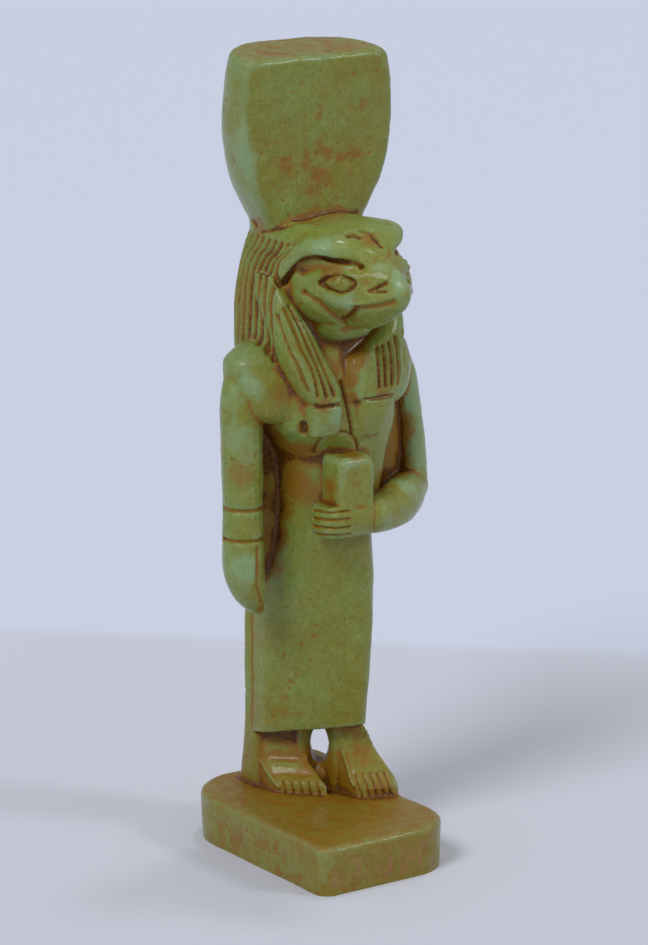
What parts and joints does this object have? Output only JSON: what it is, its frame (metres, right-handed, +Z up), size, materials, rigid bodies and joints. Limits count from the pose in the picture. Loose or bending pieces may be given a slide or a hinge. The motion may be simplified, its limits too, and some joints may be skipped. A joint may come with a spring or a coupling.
{
  "type": "falcon-headed statuette",
  "caption": "Standing falcon-headed figure with a tall flat-fronted crown, striated wig and held block, carved in one with its plinth.",
  "frame": {"origin": "middle of the plinth's flat underside", "axes": "+Z up, the figure faces -Y and its own left side is +X"},
  "size_m": [0.0487, 0.0546, 0.1701],
  "materials": {
    "glazed_stone": "olive-green glaze over pale stone, ochre-brown stain in the cuts, satin"
  },
  "bodies": {
    "root": {"horus_statue": "glazed_stone"}
  },
  "joints": []
}
